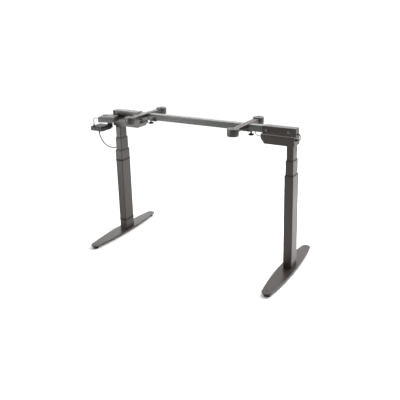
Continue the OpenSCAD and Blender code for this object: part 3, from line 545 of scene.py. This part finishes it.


# ---------- Side rails and head plates ----------
# Nearly square tubes closed at their outer ends and welded on flat head plates over the housings,
# with a slot and two bolt holes in the front wall, coated after welding. A thin pale grey strip
# along the lower front edge of each rail is a painted highlight: the light that edge catches.
dress(["left_rail", "right_rail"], graphite_coat, 0.7 * mm)
# Painted highlight: a lighter grey strip on the rail front stands in for the light caught by its
# lower edge.
painted_highlight_grey = moulded("painted_edge_highlight", "#6d6b68", 0.4, 0.5, 1 * mm, 0.03 * mm)
for side in ("left", "right"):
    low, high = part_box(f"{side}_rail")
    strip = slab(rounded_box(high.x - low.x - 4 * mm, 3.4 * mm, 1 * mm), 0, 0.9 * mm, 0, 0.4 * mm)
    place = (Matrix.Translation(((low.x + high.x) / 2, low.y + 0.1 * mm, low.z + 2.2 * mm))
             @ to_front)
    piece_from(strip, f"{side}_rail_painted_highlight", place, "top_frame", painted_highlight_grey, [])


# ---------- Rail bolts ----------
# M8 button head bolts through the rails and the crossbar, plated dark grey, with a hexagon
# socket, a washer under the head and a nut behind.
bolt_zinc = zinc_plate("zinc_plated_bolt", "#6a6a6b", 3 * mm)
button_head = [
    (0, -47 * mm, 0), (4 * mm, -47 * mm, 0), (4 * mm, 0, 0), (8 * mm, 0, 0), (8 * mm, 1 * mm, 0),
    (7.1 * mm, 1.1 * mm, 0), (6.9 * mm, 2 * mm, 0), (5.8 * mm, 3.3 * mm, 0),
    (4.2 * mm, 4 * mm, 0), (2.9 * mm, 4 * mm, 6), (2.8 * mm, 1.4 * mm, 6), (0, 1.4 * mm, 0)]
nut = [
    (0, -1 * mm, 0), (4 * mm, -1 * mm, 0), (4 * mm, 0, 0), (6.4 * mm, 0, 0), (7 * mm, 0.4 * mm, 6),
    (7 * mm, 5.4 * mm, 6), (6.2 * mm, 6 * mm, 0), (4 * mm, 6 * mm, 0), (4 * mm, 7.6 * mm, 0),
    (3.6 * mm, 8 * mm, 0), (0, 8 * mm, 0)]
bolts_low, bolts_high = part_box("rail_bolts")
bolt_z = (bolts_low.z + bolts_high.z) / 2
bolt_inset = 24 * mm
for side in ("left", "right"):
    low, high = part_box(f"{side}_rail")
    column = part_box(f"{side}_drive_screw")
    column_x = (column[0].x + column[1].x) / 2
    outwards = -1 if side == "left" else 1
    inner_x = high.x if side == "left" else low.x
    rail_inner = inner_x + outwards * 10 * mm
    for i, x in enumerate((rail_inner + outwards * bolt_inset, column_x - outwards * 4 * mm)):
        head_place = (Matrix.Translation((x, bolts_low.y + 4 * mm, bolt_z)) @ to_front)
        piece_from(turned(button_head), f"{side}_rail_bolt_{i + 1}", head_place, "top_frame",
                   bolt_zinc, ["rail_bolts"])
        nut_place = (Matrix.Translation((x, bolts_high.y - 7.5 * mm, bolt_z)) @ to_back)
        piece_from(turned(nut), f"{side}_rail_nut_{i + 1}", nut_place, "top_frame", bolt_zinc,
                   ["rail_bolts"])


# ---------- Crossbar ----------
# Steel tube, 38 by 35 mm, let into both rails and bolted through them. Its powder coat is
# lighter than that of the columns and rails.
bar_coat = powder_coat("crossbar_powder_coat", "#414441", "#4c4f4c")
dress(["crossbar"], bar_coat, 0.8 * mm)


# ---------- Arms and end pads ----------
# Inverted channels of 2.7 mm sheet, notched over the crossbar. A round moulded pad with a
# dished top and a screw hole is pushed over each end and takes the desk top.
def carved(part, *cutters):
    """Cuts the cutters out of a piece and removes them."""
    for cutter in cutters:
        cut = part.modifiers.new("cut", "BOOLEAN")
        cut.operation = "DIFFERENCE"
        cut.solver = "EXACT"
        cut.object = cutter
    view = bpy.context.evaluated_depsgraph_get()
    mesh = bpy.data.meshes.new_from_object(part.evaluated_get(view))
    part.modifiers.clear()
    part.data = mesh
    for cutter in cutters:
        bpy.data.objects.remove(cutter)


def tool(solid, place):
    """A cutter: a loose object, made only to be taken away from a piece."""
    return from_bmesh("cutter", solid, place)


dress(["left_arm", "right_arm"], graphite_coat, 0.8 * mm)
pad_nylon = moulded("pad_nylon", "#2b2a29", 0.34, 0.46, 1.6 * mm, 0.06 * mm)
for side in ("left", "right"):
    low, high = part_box(f"{side}_arm_pads")
    arm_low, arm_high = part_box(f"{side}_arm")
    x = (low.x + high.x) / 2
    pad_r, pad_h = (high.x - low.x) / 2, high.z - low.z
    hole_r, dish_r = 3.25 * mm, pad_r - 7 * mm
    profile = [
        (0, 0, 0), (pad_r - 2.4 * mm, 0, 0), (pad_r - 0.8 * mm, 0.7 * mm, 0),
        (pad_r, 2.4 * mm, 0), (pad_r, pad_h - 2.4 * mm, 0), (pad_r - 0.3 * mm, pad_h - 1.2 * mm, 0),
        (pad_r - 1.1 * mm, pad_h - 0.35 * mm, 0), (pad_r - 2.4 * mm, pad_h, 0),
        (dish_r, pad_h, 0), (dish_r - 0.8 * mm, pad_h - 0.8 * mm, 0),
        (hole_r + 5 * mm, pad_h - 0.8 * mm, 0), (hole_r + 4.4 * mm, pad_h, 0), (0, pad_h, 0)]
    for end, y in (("front", low.y + pad_r), ("rear", high.y - pad_r)):
        place = Matrix.Translation((x, y, low.z))
        pad = piece_from(turned(profile, 96), f"{side}_{end}_pad", place, f"{side}_arm", pad_nylon,
                         [f"{side}_arm_pads"])
        arm_w, arm_h = arm_high.x - arm_low.x, arm_high.z - arm_low.z
        reach = arm_high.y - abs(y)
        slot = slab(rounded_box(arm_w + 0.2 * mm, 2 * pad_r, 0.5 * mm), 0, arm_h + 0.2 * mm, 0, 0)
        inwards = -1 if end == "rear" else 1
        slot_y = y + inwards * (pad_r - reach - 0.1 * mm)
        hole = turned([(0, -1 * mm, 0), (hole_r, -1 * mm, 0), (hole_r, pad_h + 1 * mm, 0),
                       (0, pad_h + 1 * mm, 0)], 32)
        carved(pad, tool(slot, Matrix.Translation((x, slot_y, arm_low.z - 0.1 * mm))),
               tool(hole, place))
        pad.data.set_sharp_from_angle(angle=sharp_angle)


# ---------- Clamps and thumbscrews ----------
# A folded plate under the crossbar ties each arm to it. The knob is black nylon moulded on a
# blackened steel screw: a domed head with flutes for the fingers and a tapered neck.
dress(["left_clamp", "right_clamp"], graphite_coat, 0.5 * mm)
knob_nylon = moulded("knob_nylon", "#131314", 0.38, 0.5, 1.2 * mm, 0.05 * mm)
for side in ("left", "right"):
    low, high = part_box(f"{side}_thumbscrew")
    knob_r = (high.x - low.x) / 2
    place = Matrix.Translation(((low.x + high.x) / 2, (low.y + high.y) / 2, low.z))
    stem_h = high.z - low.z
    piece_from(turned([
        (0, 0, 0), (knob_r * 0.35, 0.1 * mm, 0), (knob_r * 0.66, 0.9 * mm, 0),
        (knob_r * 0.88, 2.8 * mm, 12), (knob_r * 0.98, 5 * mm, 12), (knob_r, 6.6 * mm, 12),
        (knob_r * 0.97, 8.4 * mm, 12), (knob_r * 0.86, 9.8 * mm, 12), (knob_r * 0.55, 10.6 * mm, 0),
        (knob_r * 0.38, 11.2 * mm, 0), (knob_r * 0.3, 13.5 * mm, 0), (knob_r * 0.27, 18 * mm, 0),
        (knob_r * 0.25, 19 * mm, 0), (0, 19 * mm, 0)], 96), f"{side}_knob", place,
        f"{side}_thumbscrew", knob_nylon, [f"{side}_thumbscrew"])
    screw = [(0, 18.8 * mm, 0)]
    for i in range(int((stem_h - 20 * mm) / mm)):
        at = 19 * mm + i * mm
        screw += [(2.5 * mm, at, 0), (3 * mm, at + 0.5 * mm, 0)]
    screw += [(2.5 * mm, stem_h - 0.3 * mm, 0), (2 * mm, stem_h, 0), (0, stem_h, 0)]
    piece_from(turned(screw, 32), f"{side}_knob_screw", place, f"{side}_thumbscrew", screw_black,
               [f"{side}_thumbscrew"])


# ---------- Cable clip ----------
# Black nylon clip on the front of the left clamp: a flat bar with round ends on a short post
# and a hook over the top, sprung round the cables.
low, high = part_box("left_cable_clip")
clip_w = high.x - low.x
clip_middle = (low.x + high.x) / 2
bar_y = high.y - 4.5 * mm
for name, width, depth, x, y, bottom, top in (
        ("clip_bar", clip_w, 9 * mm, clip_middle, bar_y, low.z, low.z + 7 * mm),
        ("clip_post", 8 * mm, 6 * mm, clip_middle, high.y - 3 * mm, low.z + 6.5 * mm, high.z),
        ("clip_hook", 8 * mm, 9 * mm, clip_middle, low.y + 4.6 * mm, high.z - 4 * mm, high.z)):
    solid = slab(rounded_box(width, depth, min(width, depth) * 0.45), 0, top - bottom,
                 1 * mm, 1.5 * mm)
    piece_from(solid, name, Matrix.Translation((x, y, bottom)), "left_arm", knob_nylon,
               ["left_cable_clip"])


# ---------- Hanger bracket ----------
# Bent and coated 3 mm steel strip bolted to the end of the left rail. It carries the control
# box on a shelf and the handset on a tongue behind it.
dress(["hanger_bracket"], graphite_coat, 0.6 * mm)


# ---------- Control box ----------
# Two ABS shells, mid grey with a spark texture, screwed together along a seam. The front is
# rounded, the back is flat with the mains inlet, and the lid has cooling slots.
def box_profile(height_low, height_high):
    """End outline of one shell, front to the left, between two heights of the whole box."""
    front, back, top = -box_d / 2, box_d / 2, box_h
    nose, heel, seam_r = 12 * mm, 3 * mm, 0.5 * mm
    if height_low > 0:
        corners = [(front, height_low, seam_r), (back, height_low, seam_r), (back, top, heel),
                   (front, top, nose)]
    else:
        corners = [(front, 0, nose * 0.8), (back, 0, heel), (back, height_high, seam_r),
                   (front, height_high, seam_r)]
    return rounded(corners, 8)


control_abs = moulded("control_box_abs", "#545653", 0.42, 0.55, 1.4 * mm, 0.06 * mm)
dark_abs = moulded("control_box_dark_abs", "#2a2a2b", 0.4, 0.55, 1.2 * mm, 0.05 * mm)
base_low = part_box("control_box_base")[0]
cover_low, cover_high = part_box("control_box_cover")
box_l, box_d, box_h = 99 * mm, 94 * mm, cover_high.z - base_low.z
box_turn = math.radians(18)
seam = cover_low.z - base_low.z
box_middle = (cover_low + cover_high) / 2
at_box = (Matrix.Translation((box_middle.x, box_middle.y, base_low.z))
          @ Matrix.Rotation(box_turn, 4, "Z"))
lay_along = Matrix(((0, 0, 1, 0), (1, 0, 0, 0), (0, 1, 0, 0), (0, 0, 0, 1)))
inlet_x, inlet_z = box_l / 2 - 26 * mm, 18 * mm
for name, node, outline in (
        ("control_base", "control_box_base", box_profile(0, seam)),
        ("control_cover", "control_box_cover", box_profile(seam, box_h))):
    shell = slab(outline, -box_l / 2, box_l / 2, 2.2 * mm, 2.2 * mm, 4)
    shell_piece = piece_from(shell, name, at_box @ lay_along, "top_frame", control_abs,
                             [node])
    cutters = [tool(slab(rounded_box(28 * mm, 20 * mm, 2 * mm), 0, 16 * mm, 0, 0),
                    at_box @ Matrix.Translation((inlet_x, box_d / 2 + 2 * mm, inlet_z))
                    @ to_front)]
    if node == "control_box_cover":
        for i in range(7):
            slot = slab(rounded_box(2 * mm, 30 * mm, 0.95 * mm), 0, 3 * mm, 0, 0)
            cutters.append(tool(slot, at_box @ Matrix.Translation(
                ((-34 + 5 * i) * mm, 10 * mm, box_h - 1.5 * mm))))
    carved(shell_piece, *cutters)
    shell_piece.data.set_sharp_from_angle(angle=sharp_angle)
end_cap = rounded([(-box_d / 2 + 3 * mm, 3 * mm, 9 * mm), (box_d / 2 - 3 * mm, 3 * mm, 2 * mm),
                   (box_d / 2 - 3 * mm, box_h - 3 * mm, 2 * mm),
                   (-box_d / 2 + 3 * mm, box_h - 3 * mm, 10 * mm)], 8)
for name, at in (("left", -box_l / 2 - 0.6 * mm), ("right", box_l / 2 - 0.6 * mm)):
    piece_from(slab(end_cap, at, at + 1.2 * mm, 0.4 * mm, 0.4 * mm), f"control_end_plate_{name}",
               at_box @ lay_along, "top_frame", dark_abs, [])
for i, (x, y) in enumerate(((-43, 36), (43, 36), (-43, -28), (43, -28))):
    place = at_box @ Matrix.Translation((x * mm, y * mm, box_h - 0.6 * mm))
    piece_from(turned([(0, 0, 0), (2.6 * mm, 0, 0), (2.6 * mm, 0.8 * mm, 0),
                       (2.2 * mm, 1.1 * mm, 0), (1.2 * mm, 1.1 * mm, 6),
                       (1.1 * mm, 0.2 * mm, 6), (0, 0.2 * mm, 0)], 32),
               f"control_box_screw_{i + 1}", place, "top_frame", screw_black, [])
inlet_place = (at_box @ Matrix.Translation((inlet_x, box_d / 2 - 1 * mm, inlet_z)) @ to_back)
inlet = piece_from(slab(rounded_box(31 * mm, 23 * mm, 3 * mm), 0, 2.2 * mm, 0, 0.8 * mm),
                   "mains_inlet_frame", inlet_place, "top_frame", dark_abs, [])
carved(inlet, tool(slab(rounded_box(24 * mm, 16.5 * mm, 3 * mm), -1 * mm, 4 * mm, 0, 0),
                   inlet_place))
inlet_well = at_box @ Matrix.Translation((inlet_x, box_d / 2 - 15 * mm, inlet_z))
piece_from(slab(rounded_box(27 * mm, 19 * mm, 2 * mm), 0, 2 * mm, 0, 0), "mains_inlet_floor",
           inlet_well @ to_back, "top_frame", dark_abs,
           [])
for i, (x, z) in enumerate(((-7, -2), (0, 3), (7, -2))):
    pin = slab(rounded_box(2 * mm, 4 * mm, 0.4 * mm), 0, 12 * mm, 0, 0.5 * mm)
    place = (inlet_well @ Matrix.Translation((x * mm, 1.5 * mm, z * mm)) @ to_back)
    piece_from(pin, f"mains_inlet_pin_{i + 1}", place, "top_frame", bronze, [])


# ---------- Circuit board ----------
# Glass epoxy board with its transformer and capacitors, out of sight in the control box. The
# whole piece wears the board's green solder mask.
def solder_mask(name, colour, track_colour, track):
    """Solder mask: glossy, and raised a little over the tracks."""
    material, where = blank(name)
    tracks = add(material, "ShaderNodeTexBrick", {
        "Vector": where, "Scale": 1 / (8 * track), "Mortar Size": 0.06,
        "Color1": (0, 0, 0, 1), "Color2": (0.1, 0.1, 0.1, 1), "Mortar": (1, 1, 1, 1)})
    relief = tracks.outputs["Fac"]
    return surface(material, relief, 0.5, 0.05 * mm, {
        "Base Color": mixed(material, relief, colour, track_colour), "Roughness": 0.3,
        "IOR": 1.55})


dress(["control_board"], solder_mask("green_solder_mask", "#1e4630", "#2f6a48", 1 * mm), 0.2 * mm)


# ---------- Handset ----------
# Two black ABS shells with a smooth crowned lid, a seam between them, two eyelets on top for
# the hanging screws, and a recessed front panel round the two keys.
handset_abs = moulded("handset_abs", "#1b1b1c", 0.5, 0.62, 1.0 * mm, 0.03 * mm)
base_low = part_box("handset_base")[0]
cover_low, cover_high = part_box("handset_cover")
hand_w, hand_d = cover_high.x - cover_low.x, cover_high.y - cover_low.y
hand_h = cover_high.z - base_low.z
hand_seam = cover_low.z - base_low.z
hand_place = Matrix.Translation(((cover_low.x + cover_high.x) / 2,
                                 (cover_low.y + cover_high.y) / 2, base_low.z))
hand_outline = rounded_box(hand_w, hand_d, 9 * mm, 8)
key_low, key_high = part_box("up_button")
key_w, key_h = key_high.x - key_low.x, key_high.z - key_low.z
key_z = (key_low.z + key_high.z) / 2 - base_low.z
panel = slab(rounded_box(60 * mm, 14 * mm, 4 * mm), 0, 4 * mm, 0, 0)
panel_place = (hand_place @ Matrix.Translation((0, -hand_d / 2 + 1 * mm, key_z)) @ to_front)
piece_from(slab(hand_outline, 0, hand_seam - 0.15 * mm, 3 * mm, 0.4 * mm, 5),
           "handset_lower_shell", hand_place, "top_frame", handset_abs,
           ["handset_base"])
hand_cover = piece_from(slab(hand_outline, hand_seam + 0.15 * mm, hand_h, 0.4 * mm, 7 * mm, 8),
                        "handset_upper_shell", hand_place, "top_frame", handset_abs,
                        ["handset_cover"])
eyelet_y = hand_d / 2 - 30 * mm
cutters = [tool(panel, panel_place)]
for x in (-26 * mm, 26 * mm):
    cutters.append(tool(turned([(0, hand_h - 5 * mm, 0), (3.4 * mm, hand_h - 5 * mm, 0),
                                (3.4 * mm, hand_h + 1 * mm, 0), (0, hand_h + 1 * mm, 0)], 32),
                        hand_place @ Matrix.Translation((x, eyelet_y, 0))))
for key in (-12 * mm, 12 * mm):
    well = slab(rounded_box(key_w + 0.6 * mm, key_h + 0.6 * mm, 1.4 * mm), 0, 14 * mm, 0, 0)
    cutters.append(tool(well, hand_place
                        @ Matrix.Translation((key, -hand_d / 2 + 13 * mm, key_z)) @ to_front))
carved(hand_cover, *cutters)
hand_cover.data.set_sharp_from_angle(angle=sharp_angle)
light_ring = moulded("eyelet_grey_abs", "#8f9190", 0.3, 0.4, 1.5 * mm, 0.03 * mm)
for name, x in (("left", -26 * mm), ("right", 26 * mm)):
    piece_from(turned([(3.4 * mm, -2 * mm, 0), (5.6 * mm, -0.6 * mm, 0), (5.6 * mm, 0, 0),
                       (5 * mm, 0.7 * mm, 0), (4 * mm, 0.7 * mm, 0), (3.4 * mm, 0, 0),
                       (3.4 * mm, -2 * mm, 0)], 48), f"handset_eyelet_{name}",
               hand_place @ Matrix.Translation((x, eyelet_y, hand_h)), "top_frame", light_ring,
               [])


# ---------- Keys ----------
# Soft silicone keys that press in by 1.2 mm, one up and one down, each with a raised triangle
# moulded on its face.
def silicone(name, colour):
    """Silicone rubber: matt, dry, with a faint dusting that dulls it unevenly."""
    material, where = blank(name)
    dust = noise(material, where, 3 * mm, 4.0)
    return surface(material, dust, 0.2, 0.05 * mm, {
        "Base Color": linear(colour), "IOR": 1.41,
        "Roughness": spread(material, dust, 0.55, 0.75)})


key_rubber = silicone("grey_silicone", "#3c3d3f")
mark_rubber = silicone("pale_silicone", "#8c8e90")
for node, point in (("up_button", 1), ("down_button", -1)):
    low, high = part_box(node)
    place = (Matrix.Translation(((low.x + high.x) / 2, high.y, (low.z + high.z) / 2)) @ to_front)
    key_l = high.y - low.y - 0.4 * mm
    key = slab(rounded_box(high.x - low.x, high.z - low.z, 1.4 * mm), 0, key_l, 0.3 * mm, 1 * mm)
    piece_from(key, node + "_key", place, node, key_rubber, [node])
    corners = [(-2.4 * mm, -1.8 * mm * point, 0.4 * mm), (2.4 * mm, -1.8 * mm * point, 0.4 * mm),
               (0, 2.2 * mm * point, 0.4 * mm)]
    mark = rounded(corners if point > 0 else corners[::-1], 4)
    piece_from(slab(mark, key_l - 0.2 * mm, key_l + 0.4 * mm, 0, 0.15 * mm), node + "_mark",
               place, node, mark_rubber, [])


# ---------- Glands and plugs ----------
# Rubber strain reliefs where the cables leave the box, the handset and the motors, ribbed so
# that they bend with the cable, and two grommets under the crossbar.
gland_rubber = silicone("black_rubber", "#19191a")


def gland(name, route, first, wide_r, narrow_r, length):
    """Ribbed taper that ends at one end of a cable's route and sits back by its length."""
    here = Vector(route[0] if first else route[-1])
    onward = Vector(route[1] if first else route[-2]) - here
    ribs = max(2, int(length / (2.2 * mm)))
    ribbed = length * 0.8
    profile = [(0, -length, 0), (wide_r, -length, 0), (wide_r, -ribbed, 0)]
    for i in range(ribs):
        share = (i + 0.2) / ribs
        radius = wide_r * 0.86 + (narrow_r - wide_r * 0.86) * share
        start = -ribbed + ribbed * i / ribs
        step = ribbed / ribs
        profile += [(radius, start + step * 0.1, 0), (radius, start + step * 0.6, 0),
                    (radius * 0.84, start + step * 0.7, 0), (radius * 0.84, start + step * 0.95, 0)]
    profile += [(narrow_r * 0.84, 0, 0), (0, 0, 0)]
    turn = Vector((0, 0, 1)).rotation_difference(onward.normalized()).to_matrix().to_4x4()
    piece_from(turned(profile, 40), name, Matrix.Translation(here) @ turn, "top_frame",
               gland_rubber, ["cable_glands"])


gland("control_box_gland", link_route, True, 6.5 * mm, 3.5 * mm, 18.3 * mm)
gland("handset_top_plug", link_route, False, 6 * mm, 4 * mm, 12 * mm)
gland("handset_gland", handset_route, True, 6 * mm, 4 * mm, 10 * mm)
gland("left_housing_plug", handset_route, False, 6.5 * mm, 4 * mm, 10 * mm)
gland("left_motor_gland", left_motor_route, True, 5.5 * mm, 3 * mm, 6.5 * mm)
gland("right_motor_gland", right_motor_route, True, 5.5 * mm, 3 * mm, 10.5 * mm)
gland("rail_end_gland", rail_end_route, True, 5.5 * mm, 3 * mm, 4.5 * mm)
gland("right_housing_plug", rail_end_route, False, 7 * mm, 3.5 * mm, 11.5 * mm)
for name, route in (("left", left_motor_route), ("right", right_motor_route)):
    piece_from(turned([(0, 0, 0), (6 * mm, 0, 0), (7 * mm, 0.8 * mm, 0), (7 * mm, 2 * mm, 0),
                       (4.9 * mm, 2 * mm, 0), (4.9 * mm, 4 * mm, 0), (0, 4 * mm, 0)], 40),
               f"crossbar_grommet_{name}", Matrix.Translation(Vector(route[-1])), "top_frame",
               gland_rubber, ["cable_glands"])


# ---------- Floor and light ----------
# A seamless pale studio floor in soft light: bright behind and to both sides, where the coat
# mirrors it, and dimmer in front. The camera sees plain white beyond the floor.
floor_paint, where = blank("pale_floor")
cloud = noise(floor_paint, where, 1 / 3)
matt = add(floor_paint, "ShaderNodeBsdfPrincipled", {
    "Base Color": linear("#ededec"), "Roughness": spread(floor_paint, cloud, 0.8, 0.9)})
add(floor_paint, "ShaderNodeOutputMaterial", {"Surface": matt.outputs["BSDF"]})
floor_mesh = bpy.data.meshes.new("floor")
floor_r, floor_sides = 3.6, 96
floor_rim = [(floor_r * math.cos(2 * math.pi * i / floor_sides),
              floor_r * math.sin(2 * math.pi * i / floor_sides), 0) for i in range(floor_sides)]
floor_mesh.from_pydata(floor_rim, [], [tuple(range(floor_sides))])
floor_mesh.materials.append(floor_paint)
floor = linked("floor", floor_mesh)


def softbox(name, place, target, width, height, radiance):
    """A rectangular soft light, its power worked out from how bright its face looks."""
    light = bpy.data.lights.new(name, "AREA")
    light.shape = "RECTANGLE"
    light.size, light.size_y = width, height
    light.energy = radiance * math.pi * width * height
    lamp = linked(name, light)
    lamp.location = place
    lamp.visible_camera = False
    lamp.rotation_euler = (Vector(target) - Vector(place)).to_track_quat("-Z", "Y").to_euler()


softbox("front_left_light", (-2.7, -2.5, 0.7), (-0.55, 0, 0.6), 1.5, 1.3, 12.0)
softbox("back_right_light", (1.25, 1.1, 1.9), (1.2, 1.0, 0), 1.1, 1.5, 16.0)
softbox("back_light", (-2.9, 4.4, 1.35), (0, 0, 0.8), 5.0, 0.7, 4.6)
softbox("top_light", (0, 0.3, 4), (0, 0, 0), 4.0, 4.0, 1.6)
world = bpy.data.worlds.new("studio")
bpy.context.scene.world = world
world.use_nodes = True
world.node_tree.nodes.clear()
sky_way = add(world, "ShaderNodeTexCoord").outputs["Generated"]
sky_axes = add(world, "ShaderNodeSeparateXYZ", {"Vector": sky_way})
depth = add(world, "ShaderNodeMapRange",
            {"Value": sky_axes.outputs["Y"], "From Min": -0.9, "From Max": 0.9,
             "To Min": 0.25, "To Max": 1.2})
rays = add(world, "ShaderNodeLightPath")
strength = add(world, "ShaderNodeMix", {
    "Factor": rays.outputs["Is Camera Ray"], "A": depth.outputs["Result"], "B": 1.05},
    data_type="FLOAT")
sky = add(world, "ShaderNodeBackground", {
    "Color": (1.0, 1.0, 1.0, 1.0), "Strength": strength.outputs["Result"]})
add(world, "ShaderNodeOutputWorld", {"Surface": sky.outputs["Background"]})
bpy.context.scene.view_settings.view_transform = "Standard"
